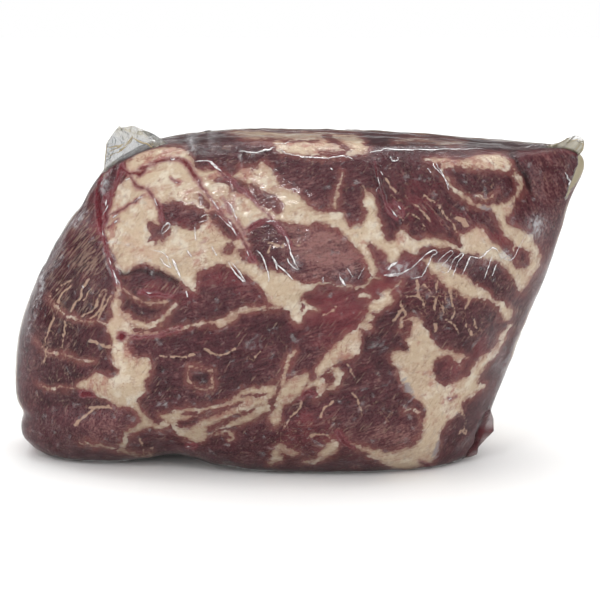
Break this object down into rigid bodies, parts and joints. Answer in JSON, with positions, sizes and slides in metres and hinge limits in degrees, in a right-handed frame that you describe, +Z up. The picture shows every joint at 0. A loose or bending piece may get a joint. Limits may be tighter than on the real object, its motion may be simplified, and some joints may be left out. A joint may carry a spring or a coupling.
{
  "type": "raw boston butt in a clear vacuum bag",
  "caption": "Block of raw pork shoulder shrunk tight in a clear vacuum bag, standing on its long side with film gathered at its corners.",
  "frame": {"origin": "on the ground under the centre of the pack's bounding box", "axes": "+X along the pack towards the drawn corner at top right, +Y from the cut face to the fat cap, +Z up"},
  "size_m": [0.295, 0.1364, 0.1745],
  "materials": {
    "bagged_meat": "moist raw pork: mauve-brown muscle with cream fat seams",
    "clear_film": "clear glossy shrink film, creased, with some juice under it"
  },
  "bodies": {
    "root": {"vacuum_pack": "bagged_meat"}
  },
  "joints": []
}
